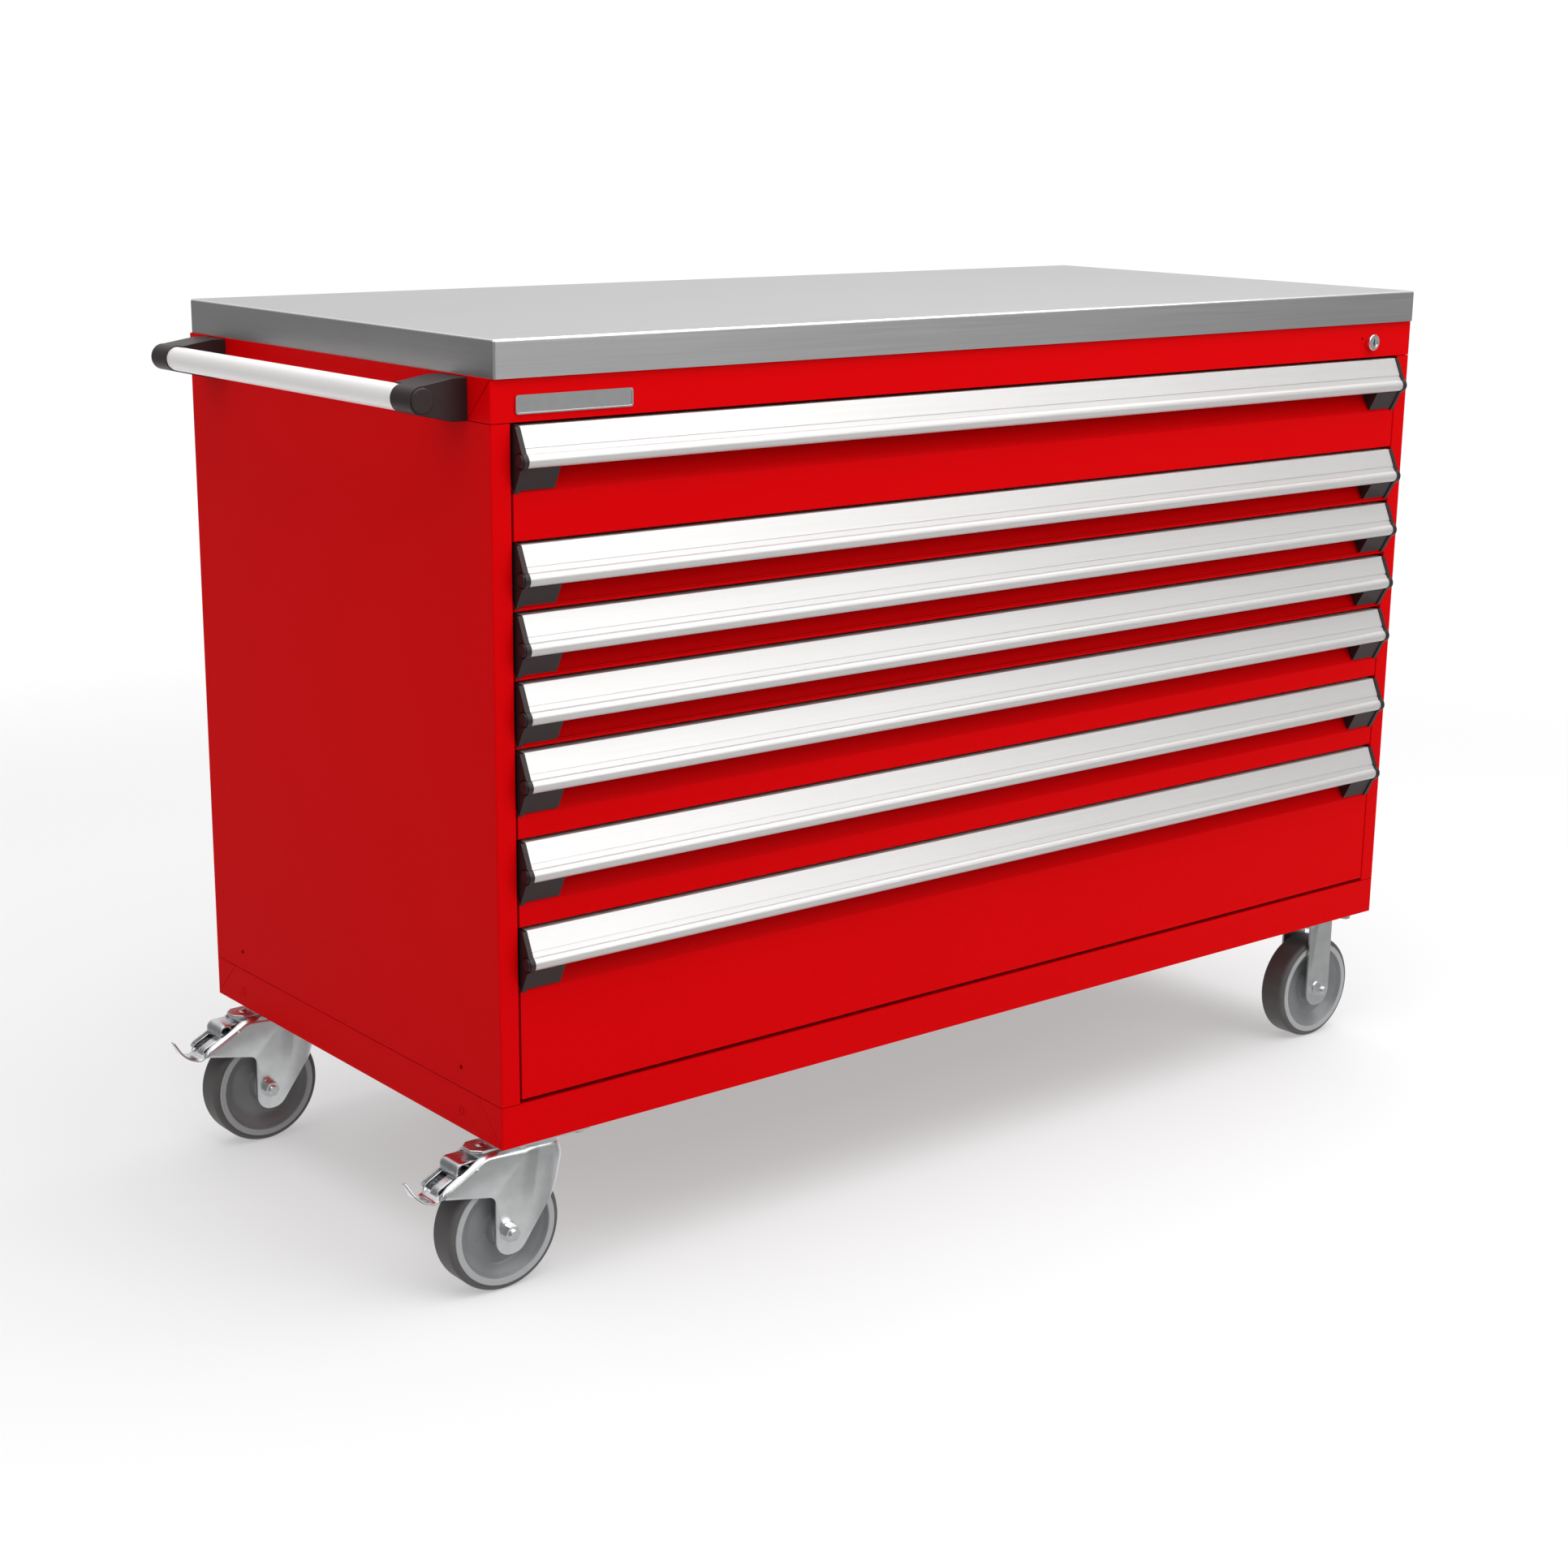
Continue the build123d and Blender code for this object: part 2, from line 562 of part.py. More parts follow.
def swivel_caster(x, y, prefix):
    """Pressed fork, brake pedal, wheel and axle bolt of one left-hand caster."""
    ax = x - SWIVEL_OFFSET
    with BuildPart() as fork:
        leg = [
            (34, FORK_TOP),
            (34, -38),
            (-37.5, -143.5),
            (-68, -143.5),
            (-66, -70),
            (-128, -62.5),
            (-137, -54),
            (-88, FORK_TOP),
        ]
        turns = [5, 30, 19, 19, 12, 6, 5, 18]
        slab_y([(x + u, z) for u, z in leg], (y - FORK_OUT, y + FORK_OUT), turns)
        rim = fork.faces().sort_by(Axis.Z)[-1].edges().filter_by(Axis.X)
        fillet(rim, radius=8.5)
        hollow = [
            (50, FORK_TOP - 3.2),
            (50, -160),
            (-160, -160),
            (-160, -60),
            (-160, -40),
            (-150, FORK_TOP + 1),
            (-86, FORK_TOP + 1),
            (-84, FORK_TOP - 3.2),
        ]
        slab_y([(x + u, z) for u, z in hollow], (y - FORK_IN, y + FORK_IN), mode=Mode.SUBTRACT)
        block((x + 31, x + 34), (y - FORK_IN - 1, y + FORK_IN + 1), (-33, FORK_TOP - 2))
        rod_z(x, y, 34.0, (FORK_TOP - 1, -11.0))
        rod_z(x, y, 10.05, (-40, 0), mode=Mode.SUBTRACT)
        pad = [
            (x - 50, y - 19),
            (x - 78, y - 19),
            (x - 88, y - 10),
            (x - 88, y + 10),
            (x - 78, y + 19),
            (x - 50, y + 19),
        ]
        slab_z(pad, (FORK_TOP - 2, -11.0), 2)
        rod_z(x - 70, y, 5.6, (-40, 0), mode=Mode.SUBTRACT)
        rod_y(ax, AXLE_Z, AXLE_R + 0.3, (y - 40, y + 40), mode=Mode.SUBTRACT)
        rod_y(x + PEDAL_PIN[0], PEDAL_PIN[1], 3.05, (y - 40, y + 40), mode=Mode.SUBTRACT)
    fork.part.label = prefix + "_fork"
    export_step(fork.part, "parts/" + prefix + "_fork.step")

    with BuildPart() as pedal:
        half = FORK_IN - 0.6
        plate = [(-84, -24), (-92, -21), (-134, -51.5), (-134, -60)]
        strip_y([(x + u, z) for u, z in plate], (y - half, y + half), 3.0, 3.0)
        scoop = [(-132.5, -59), (-141, -64.5), (-158, -58), (-171, -35)]
        strip_y([(x + u, z) for u, z in scoop], (y - half + 2, y + half - 2), 2.5, 6.0)
        curl = [(-105, -33), (-91, -33), (-88, -15.5), (-121, -15.5), (-121, -28)]
        strip_y([(x + u, z) for u, z in curl], (y - 10, y + 10), 2.4, 6.0)
        block((x - 125, x - 112), (y - half - 1, y - 8), (-60, -20), mode=Mode.SUBTRACT)
        rod_y(x + PEDAL_PIN[0], PEDAL_PIN[1], 3.0, (y - FORK_OUT - 1, y + FORK_OUT + 1))
        rod_y(x + PEDAL_PIN[0], PEDAL_PIN[1], 7.0, (y - half, y + half))
    pedal.part.label = prefix + "_brake_pedal"
    export_step(pedal.part, "parts/" + prefix + "_brake_pedal.step")

    with BuildPart() as bolt:
        axle_bolt(ax, y)
    bolt.part.label = prefix + "_axle_bolt"
    export_step(bolt.part, "parts/" + prefix + "_axle_bolt.step")
    wheel(ax, y, prefix)


def mounting_plate(x, y):
    """A caster's top plate with its four bolt holes."""
    edges = rectangle(
        (x - PLATE_HALF_X, x + PLATE_HALF_X), (y - PLATE_HALF_Y, y + PLATE_HALF_Y)
    )
    slab_z(edges, (-PLATE_THICK, 0), 6)
    for sx in (-1, 1):
        for sy in (-1, 1):
            hole = (x + sx * BOLT_X, y + sy * BOLT_Y)
            rod_z(*hole, BOLT_HOLE_R, (-PLATE_THICK - 1, 1), mode=Mode.SUBTRACT)


def caster_plates():
    """Top plates of the swivel casters, each with its ball race and riveted kingpin."""
    with BuildPart() as plates:
        for x, y in CASTER_PLACES[:2]:
            mounting_plate(x, y)
            rod_z(x, y, 33.0, (-10.5, -PLATE_THICK))
            rod_z(x, y, 10.0, (-20, -PLATE_THICK))
            rod_z(x, y, 16.0, (-20.5, -16.2))
    plates.part.label = "caster_top_plates"
    export_step(plates.part, "parts/caster_top_plates.step")


def rigid_forks():
    """The two rigid casters' forks: a strap bent into a U and welded to its plate."""
    with BuildPart() as forks:
        for x, y in CASTER_PLACES[2:]:
            with BuildPart() as fork:
                mounting_plate(x, y)
                leg = [(-24, -4), (24, -4), (24, -124), (11, -144.5), (-11, -144.5), (-24, -124)]
                turns = [0, 0, 12, 13, 13, 12]
                slab_y([(x + u, z) for u, z in leg], (y - FORK_OUT, y + FORK_OUT), turns)
                block(
                    (x - 25, x + 25),
                    (y - FORK_IN, y + FORK_IN),
                    (-150, -PLATE_THICK - 3.5),
                    mode=Mode.SUBTRACT,
                )
                rod_y(x, AXLE_Z, AXLE_R + 0.3, (y - 40, y + 40), mode=Mode.SUBTRACT)
            add(fork.part)
    forks.part.label = "rigid_caster_forks"
    export_step(forks.part, "parts/rigid_caster_forks.step")

    with BuildPart() as bolts:
        for x, y in CASTER_PLACES[2:]:
            with BuildPart() as bolt:
                axle_bolt(x, y)
            add(bolt.part)
    bolts.part.label = "rigid_axle_bolts"
    export_step(bolts.part, "parts/rigid_axle_bolts.step")


def housing_bolts():
    """Caster plate bolts with their nuts, and the screws of the push handle."""
    with BuildPart() as bolts:
        for x, y in caster_bolt_places():
            rod_z(x, y, BOLT_R, (-PLATE_THICK, 2))
            hex_z(x, y, 13, (-PLATE_THICK - 5.3, -PLATE_THICK))
            hex_z(x, y, 13, (2, 8.5))
        for y in BRACKET_BOLT_Y:
            for z in BRACKET_BOLT_Z:
                rod_x(y, z, BOLT_R, (-HALF - 15, -HALF + SHEET + 1))
                rod_x(y, z, 7.0, (-HALF + SHEET, -HALF + SHEET + 4.5))
    bolts.part.label = "housing_bolts"
    export_step(bolts.part, "parts/housing_bolts.step")


# ---------------------------------------------------------------- drawers
PULL_SLOPE = (-0.409, -0.913)        # direction down the pull's sloped face, in y and z
NOSE = (-13.0, -36.5)                # centre of the pull's rounded lip from the front's top
NOSE_R = 8.0
GROOVE_STEP = 26.4                   # the groove's place down the sloped face
RECESS_LOW = 72.5                    # finger recess starts this far below the top
RECESS_HIGH = 42.0
RECESS_DEPTH = 18.0


def pull_section(plane, top):
    """The pull's section: flat roof, sloped face with a groove, rounded hollow lip."""
    edge = [
        (RECESS_DEPTH - 0.1, top),
        (-3.0, top),
        (-15.9, top - 28.8),
        (-15.9, top - 33.0),
        (-13.5, top - 33.0),
        (-1.4, top - 2.4),
        (RECESS_DEPTH - 2.5, top - 2.4),
        (RECESS_DEPTH - 2.5, top - 26),
        (RECESS_DEPTH - 0.1, top - 26),
    ]
    tilt = math.degrees(math.atan2(PULL_SLOPE[1], PULL_SLOPE[0]))
    with BuildSketch(plane) as section:
        with BuildLine():
            FilletPolyline(*edge, radius=[0, 1.2, 0, 0, 0, 0, 1, 0, 0], close=True)
        make_face()
        with Locations((NOSE[0], top + NOSE[1])):
            Circle(NOSE_R)
            Circle(NOSE_R - 2.4, mode=Mode.SUBTRACT)
        groove = (-3.0 + PULL_SLOPE[0] * GROOVE_STEP, top + PULL_SLOPE[1] * GROOVE_STEP)
        with Locations(Location((*groove, 0), (0, 0, tilt))):
            Rectangle(3.2, 1.8, mode=Mode.SUBTRACT)
    return section.sketch


def drawer(number, bottom, top):
    name = "drawer_" + str(number)
    mid = SHEET / 2
    slide_z = top - SLIDE_DROP
    with BuildPart() as shell:
        face = [(24, bottom + mid), (mid, bottom + mid)]
        flat = top - RECESS_LOW > bottom + 2 * BEND
        if flat:
            face.append((mid, top - RECESS_LOW))
        face += [
            (RECESS_DEPTH + mid, top - RECESS_HIGH),
            (RECESS_DEPTH + mid, top - mid),
            (29, top - mid),
        ]
        strip_x(face, (-DRAWER_HALF, DRAWER_HALF), SHEET, BEND - mid)
        if flat:
            for sign in (-1, 1):
                end = sided(sign, DRAWER_HALF - SHEET, DRAWER_HALF)
                block(end, (mid, 14), (bottom + mid, top - RECESS_LOW - 1))
        floor, rim, gauge, hem = bottom + 5, top - 12, 1.0, 8.0
        block((-BOX_HALF, BOX_HALF), (mid, BOX_BACK), (floor, floor + gauge))
        block((-BOX_HALF, BOX_HALF), (BOX_BACK - gauge, BOX_BACK), (floor, rim))
        block((-BOX_HALF, BOX_HALF), (BOX_BACK - hem, BOX_BACK), (rim - gauge, rim))
        for sign in (-1, 1):
            side_y = (RECESS_DEPTH + mid, BOX_BACK)
            block(sided(sign, BOX_HALF - gauge, BOX_HALF), side_y, (floor, rim))
            block(sided(sign, BOX_HALF - hem, BOX_HALF), side_y, (rim - gauge, rim))
            block(sided(sign, BOX_HALF, BOX_HALF + SHEET), SLIDE_Y, (slide_z - 15.7, slide_z + 15.7))
            for z in (slide_z - 15.7, slide_z + 14.5):
                block(sided(sign, BOX_HALF + 1, BOX_HALF + 7.1), SLIDE_Y, (z, z + SHEET))
        block((BOX_HALF, 734.0), TAB_Y, (top - TAB_DROP[0], top - TAB_DROP[1]))
    shell.part.label = name + "_box"
    export_step(shell.part, "parts/" + name + "_box.step")

    with BuildPart() as pull:
        extrude(pull_section(SIDE.offset(-727.8), top), amount=2 * 727.8)
    pull.part.label = name + "_pull"
    export_step(pull.part, "parts/" + name + "_pull.step")

    with BuildPart() as caps:
        for sign in (-1, 1):
            with BuildPart() as cap:
                plate = sided(sign, 728.0, 734.2)
                low = top - RECESS_LOW + (0 if flat else 2.5)
                cheek = [
                    (RECESS_DEPTH - 0.3, top - 0.3),
                    (-4.6, top - 0.3),
                    (-17.2, top - 28.5),
                    (-17.2, top - 45),
                    (-13.5, top - 47),
                    (-0.8, low),
                    (RECESS_DEPTH - 0.3, top - RECESS_HIGH),
                ]
                slab_x(cheek, plate, [0, 1.5, 3, 2, 2, 0, 0])
                rod_x(NOSE[0], top + NOSE[1], 9.2, plate)
                foot = [(-13.0, top - 45.2), (-0.6, low + 3), (15.0, top - 45.2)]
                slab_x(foot, sided(sign, 682.0, 729.0))
                groove = sided(sign, 731.5, 735.0)
                ring_x(NOSE[0], top + NOSE[1], (8.0, 8.9), groove, mode=Mode.SUBTRACT)
                rod_x(NOSE[0], top + NOSE[1], 8.0, sided(sign, 731.0, 736.0))
                end = cap.faces().sort_by(Axis.X)[-1 if sign > 0 else 0]
                fillet(end.edges(), radius=2.2)
            add(cap.part)
    caps.part.label = name + "_caps"
    export_step(caps.part, "parts/" + name + "_caps.step")

    with BuildPart() as carriage:
        for sign in (-1, 1):
            path = [
                (sign * 728.0, slide_z + 18.6),
                (sign * 733.2, slide_z + 18.6),
                (sign * 733.2, slide_z - 18.6),
                (sign * 728.0, slide_z - 18.6),
            ]
            strip_y(path, SLIDE_Y, SHEET, 0.9)
    carriage.part.label = name + "_carriage"
    export_step(carriage.part, "parts/" + name + "_carriage.step")


# ---------------------------------------------------------------- the chest
side_panel(-1, "left_side_panel")
side_panel(1, "right_side_panel")
back_panel()
housing_top()
base_frame()
worktop()
fixed_slides()
push_handle()
lock()
badge_plate()
caster_plates()
rigid_forks()
housing_bolts()
swivel_caster(-KINGPIN_X, CASTER_Y[0], "front_swivel")
swivel_caster(-KINGPIN_X, CASTER_Y[1], "rear_swivel")
wheel(RIGID_X, CASTER_Y[0], "front_rigid")
wheel(RIGID_X, CASTER_Y[1], "rear_rigid")
for index, (low, high) in enumerate(DRAWERS):
    drawer(index + 1, low, high)
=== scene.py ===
import math

import bmesh
import bpy
from mathutils import Matrix, Vector


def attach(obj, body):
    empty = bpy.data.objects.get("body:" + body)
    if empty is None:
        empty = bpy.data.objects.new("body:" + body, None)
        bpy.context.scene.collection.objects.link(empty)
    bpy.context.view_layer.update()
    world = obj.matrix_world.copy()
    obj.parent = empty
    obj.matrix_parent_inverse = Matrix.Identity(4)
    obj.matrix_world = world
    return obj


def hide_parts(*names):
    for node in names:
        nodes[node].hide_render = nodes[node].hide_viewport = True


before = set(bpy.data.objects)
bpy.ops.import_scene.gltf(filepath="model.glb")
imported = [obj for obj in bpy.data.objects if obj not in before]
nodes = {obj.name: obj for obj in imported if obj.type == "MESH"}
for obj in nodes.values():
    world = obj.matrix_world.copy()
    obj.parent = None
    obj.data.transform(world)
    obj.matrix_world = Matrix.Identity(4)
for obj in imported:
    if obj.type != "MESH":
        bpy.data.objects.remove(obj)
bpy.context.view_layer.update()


# ------------------------------------------------------------------ housing
# Side panels, back, top rail and base frame: folded 1.2 mm sheet steel, welded and
# powder coated red as one piece. The coat is semi-gloss with a fine orange peel.
class Wire:
    """One socket of a shader tree. Sums and products of wires add Math nodes."""

    def __init__(self, tree, socket=None):
        self.tree = tree
        self.socket = socket

    def node(self, kind, settings, sockets, output=0):
        added = self.tree.nodes.new("ShaderNode" + kind)
        for name, value in settings.items():
            setattr(added, name, value)
        for name, value in sockets.items():
            if isinstance(value, Wire):
                self.tree.links.new(value.socket, added.inputs[name])
            else:
                added.inputs[name].default_value = value
        return Wire(self.tree, added.outputs[output] if len(added.outputs) else None)

    def sum(self, operation, first, second):
        return self.node("Math", {"operation": operation}, {0: first, 1: second})

    def __add__(self, other):
        return self.sum("ADD", self, other)

    def __sub__(self, other):
        return self.sum("SUBTRACT", self, other)

    def __rsub__(self, other):
        return self.sum("SUBTRACT", other, self)

    def __mul__(self, other):
        return self.sum("MULTIPLY", self, other)

    __radd__ = __add__
    __rmul__ = __mul__

    def place(self):
        """The point of the surface, in metres, fixed to the piece."""
        return self.node("TexCoord", {}, {}, "Object")

    def facing(self, axis):
        """How far the surface faces along an axis, from -1 to 1."""
        normal = self.node("TexCoord", {}, {}, "Normal")
        return self.node("SeparateXYZ", {}, {0: normal}, axis)

    def leaning(self, axis):
        """The same, whichever way along the axis, from 0 to 1."""
        return self.node("Math", {"operation": "ABSOLUTE"}, {0: self.facing(axis)})

    def scaled(self, point, size):
        return self.node("VectorMath", {"operation": "MULTIPLY"}, {0: point, 1: size})

    def noise(self, point, scale, detail=2.0):
        return self.node("TexNoise", {}, {"Vector": point, "Scale": scale, "Detail": detail})

    def between(self, value, low, high):
        """0 where value is low, 1 where it is high, eased in between."""
        settings = {"interpolation_type": "SMOOTHSTEP"}
        return self.node("MapRange", settings, {0: value, 1: low, 2: high})

    def blend(self, share, first, second):
        """A colour from first to second."""
        return self.node("Mix", {"data_type": "RGBA"}, {0: share, 6: first, 7: second}, 2)

    def relief(self, height, depth, strength=1.0):
        return self.node("Bump", {}, {"Strength": strength, "Distance": depth, "Height": height})


def finish(name, make):
    """A material whose sockets come from make(wire), a dict for the main shader."""
    material = bpy.data.materials.new(name)
    material.use_nodes = True
    tree = material.node_tree
    tree.nodes.clear()
    shader = Wire(tree).node("BsdfPrincipled", {}, make(Wire(tree)))
    shader.node("OutputMaterial", {}, {"Surface": shader})
    return material


def coat(material, *names):
    for name in names:
        nodes[name].data.materials.clear()
        nodes[name].data.materials.append(material)


def powder(red):
    """Red powder coat. Light that it throws on its surroundings is kept nearly neutral."""
    def make(w):
        at = w.place()
        peel = w.noise(at, 900.0, 1.0)
        cloud = w.noise(at, 2.5, 2.0)
        faded = tuple(0.93 * part for part in red) + (1,)
        paint = w.blend(cloud, faded, red + (1,))
        bounced = w.node("LightPath", {}, {}, "Is Diffuse Ray")
        return {
            "Base Color": w.blend(0.8 * bounced, paint, (0.02, 0.02, 0.02, 1)),
            "Roughness": 0.36 + 0.10 * w.noise(at, 14.0, 3.0),
            "Specular IOR Level": 0.015,
            "Normal": w.relief(peel, 0.00006, 0.5),
        }
    return make


CHEST_RED = (0.60, 0.0008, 0.002)
housing_paint = finish("red_powder_coat", powder(CHEST_RED))
coat(
    housing_paint,
    "left_side_panel", "right_side_panel", "back_panel", "housing_top", "base_frame",
)


# ------------------------------------------------------------------ worktop
# A wood core pushed into a folded stainless skin, brushed along each face. Its rounded
# bends carry a painted highlight: painted near white and smoother than the faces.
def brushed(w):
    at = w.place()
    along_x = w.noise(w.scaled(at, (6.0, 700.0, 700.0)), 1.0, 3.0)
    along_y = w.noise(w.scaled(at, (700.0, 6.0, 700.0)), 1.0, 3.0)
    end = w.between(w.leaning("X"), 0.5, 0.8)
    line = along_x * (1 - end) + along_y * end
    stain = w.noise(at, 3.0, 3.0)
    flat = w.sum("MAXIMUM", w.leaning("X"), w.sum("MAXIMUM", w.leaning("Y"), w.leaning("Z")))
    # painted highlight: the rounded bends, found from the normal, are painted near white and made
    # smoother
    bend = 1 - w.between(flat, 0.90, 0.985)
    sheet = w.blend(line, (0.43, 0.43, 0.435, 1), (0.55, 0.55, 0.555, 1))
    return {
        "Base Color": w.blend(bend, sheet, (0.97, 0.97, 0.97, 1)),
        "Metallic": 1.0,
        "Roughness": (0.30 + 0.12 * line + 0.08 * stain) * (1 - 0.45 * bend),
        "Normal": w.relief(line, 0.00002, 0.4),
    }


def core_wood(w):
    at = w.place()
    grain = w.noise(w.scaled(at, (3.0, 60.0, 60.0)), 1.0, 5.0)
    return {
        "Base Color": w.blend(grain, (0.42, 0.27, 0.15, 1), (0.66, 0.48, 0.30, 1)),
        "Roughness": 0.65 + 0.2 * grain,
        "Normal": w.relief(grain, 0.0004, 0.5),
    }


coat(finish("brushed_stainless", brushed), "worktop_skin")
coat(finish("core_wood", core_wood), "worktop_core")


# ------------------------------------------------------------------ slides and lock bar
# Rolled channels of zinc-plated steel: the fixed members screwed to the posts, the
# middle carriages that run half as far as the drawers, and the bar of the lock.
def plated(bright, dark, rough):
    def make(w):
        at = w.place()
        spangle = w.noise(at, 60.0, 4.0)
        smear = w.noise(w.scaled(at, (20.0, 20.0, 90.0)), 1.0, 3.0)
        return {
            "Base Color": w.blend(spangle, dark + (1,), bright + (1,)),
            "Metallic": 1.0,
            "Roughness": rough + 0.16 * smear,
            "Normal": w.relief(spangle, 0.00006, 0.4),
        }
    return make


slide_steel = finish("plated_slide_steel", plated((0.72, 0.73, 0.75), (0.50, 0.52, 0.55), 0.28))
DRAWERS = range(1, 8)
coat(slide_steel, "fixed_slides", "lock_bar", *[f"drawer_{n}_carriage" for n in DRAWERS])


# ------------------------------------------------------------------ drawers
# Seven steel boxes with folded fronts, powder coated like the housing. Each front
# carries a pull of extruded, satin anodised aluminium between two moulded end caps.
def anodised(dark, light, metal):
    def make(w):
        at = w.place()
        drawn = w.noise(w.scaled(at, (3.0, 900.0, 900.0)), 1.0, 2.0)
        cloud = w.noise(at, 5.0, 2.0)
        return {
            "Base Color": w.blend(drawn, dark + (1,), light + (1,)),
            "Metallic": metal,
            "Roughness": 0.36 + 0.06 * cloud + 0.05 * drawn,
            "Normal": w.relief(drawn, 0.000015, 0.3),
        }
    return make


def moulded(dark, light, rough):
    def make(w):
        at = w.place()
        grain = w.noise(at, 1600.0, 2.0)
        rub = w.noise(at, 35.0, 3.0)
        return {
            "Base Color": w.blend(rub, dark + (1,), light + (1,)),
            "Roughness": rough + 0.12 * rub,
            "Specular IOR Level": 0.4,
            "Normal": w.relief(grain, 0.00010, 0.6),
        }
    return make


drawer_paint = finish("red_drawer_coat", powder(CHEST_RED))
pull_anodised = anodised((0.60, 0.59, 0.582), (0.68, 0.67, 0.662), 0.62)
cap_moulding = moulded((0.014, 0.006, 0.007), (0.024, 0.011, 0.012), 0.38)
aluminium = finish("satin_anodised", pull_anodised)
cap_plastic = finish("moulded_cap_plastic", cap_moulding)
for n in DRAWERS:
    coat(drawer_paint, f"drawer_{n}_box")
    coat(aluminium, f"drawer_{n}_pull")
    coat(cap_plastic, f"drawer_{n}_caps")


# ------------------------------------------------------------------ push handle
# A tube of satin aluminium, paler than the pulls, held in two moulded end brackets that
# are bolted through the left side.
handle_anodised = anodised((0.82, 0.805, 0.80), (0.91, 0.895, 0.89), 0.30)
coat(finish("handle_anodised", handle_anodised), "push_handle_tube")
coat(cap_plastic, "push_handle_brackets")


# ------------------------------------------------------------------ lock and badge
# A chromed cam lock in the top rail, and a blank chromed plate stuck on at the left.
# Both are polished, with a faint haze.
def chromed(w):
    at = w.place()
    haze = w.noise(at, 90.0, 3.0)
    return {
        "Base Color": w.blend(haze, (0.80, 0.81, 0.82, 1), (0.90, 0.905, 0.91, 1)),
        "Metallic": 1.0,
        "Roughness": 0.07 + 0.08 * haze,
    }


chrome = finish("chrome_plate", chromed)
coat(chrome, "lock_barrel", "lock_plug", "badge_plate")


# ------------------------------------------------------------------ caster hardware
# Top plates, axle bolts and nuts, and the bolts that hold the plates and the handle:
# steel in bright, slightly mottled zinc plate.
zinc = finish("bright_zinc", plated((0.90, 0.91, 0.92), (0.70, 0.72, 0.74), 0.20))
coat(
    zinc,
    "caster_top_plates", "rigid_axle_bolts", "housing_bolts",
    "front_swivel_axle_bolt", "rear_swivel_axle_bolt",
)


# ------------------------------------------------------------------ swivel forks
# Pressed from 3 mm sheet: two legs that run back into arms, rolled over into a crown.
# A cover plate with its screw lies on the crown. Zinc plated after forming.
FORK_GAUGE = 0.003
LEG_OUT, LEG_IN = 26.2, 23.2         # outer and inner face of a leg, from the caster's middle
SHARP = math.radians(38)             # faces that meet at more than this keep a sharp edge
CASTERS = {
    "front_swivel": (-0.6391, -0.2763), "rear_swivel": (-0.6391, 0.2985),
    "front_rigid": (0.7362, -0.2763), "rear_rigid": (0.7362, 0.2985),
}
PLATE_TOP = 0.190


def mesh_piece(name, build, corner, material, gauge=0.0):
    """A mesh made by build(bmesh) in millimetres from a caster's pivot, at its corner."""
    mesh = bpy.data.meshes.new(name)
    bm = bmesh.new()
    build(bm)
    bmesh.ops.scale(bm, vec=(0.001, 0.001, 0.001), verts=bm.verts)
    bm.to_mesh(mesh)
    bm.free()
    mesh.materials.append(material)
    for face in mesh.polygons:
        face.use_smooth = True
    mesh.set_sharp_from_angle(angle=SHARP)
    piece = bpy.data.objects.new(name, mesh)
    bpy.context.scene.collection.objects.link(piece)
    piece.location = (*CASTERS[corner], PLATE_TOP)
    if gauge:
        thick = piece.modifiers.new("gauge", "SOLIDIFY")
        thick.thickness, thick.offset, thick.use_even_offset = gauge, -1.0, True
    edge = piece.modifiers.new("edge", "BEVEL")
    edge.width, edge.segments, edge.angle_limit = 0.0005, 2, SHARP
    return piece


def turned(corners, radii, steps=7):
    """The corner points of a line in x and z, each turned with its own radius."""
    line = []
    for i, (corner, radius) in enumerate(zip(corners, radii)):
        here = Vector(corner)
        before, after = Vector(corners[i - 1]), Vector(corners[(i + 1) % len(corners)])
        if not radius:
            line.append(here)
            continue
        to_before, to_after = (before - here).normalized(), (after - here).normalized()
        reach = radius / math.tan(to_before.angle(to_after) / 2)
        first, last = here + to_before * reach, here + to_after * reach
        centre = here + (to_before + to_after).normalized() * math.hypot(radius, reach)
        for k in range(steps + 1):
            spoke = (first - centre).normalized().slerp((last - centre).normalized(), k / steps)
            line.append(centre + radius * spoke)
    return line


def normals(line):
    """The outward side of an open line in x and z, at each of its points."""
    found = []
    for i in range(len(line)):
        run = line[min(i + 1, len(line) - 1)] - line[max(i - 1, 0)]
        found.append(Vector((run.y, -run.x)).normalized())
    return found


def skin(bm, rows):
    """Quads between rows of points. Returns the rows as vertices."""
    made = [[bm.verts.new(point) for point in row] for row in rows]
    for low, high in zip(made, made[1:]):
        for k in range(len(low) - 1):
            bm.faces.new((low[k], low[k + 1], high[k + 1], high[k]))
    return made


def solid(bm, near, far):
    """A closed solid between two outlines with the same number of points."""
    near = [bm.verts.new(point) for point in near]
    far = [bm.verts.new(point) for point in far]
    bm.faces.new(near)
    bm.faces.new(far[::-1])
    for k in range(len(near)):
        after = (k + 1) % len(near)
        bm.faces.new((near[after], near[k], far[k], far[after]))


def slab(bm, line, low, high):
    """A plate: a line in x and z between two places in y."""
    solid(bm, [(p.x, low, p.y) for p in line], [(p.x, high, p.y) for p in line])


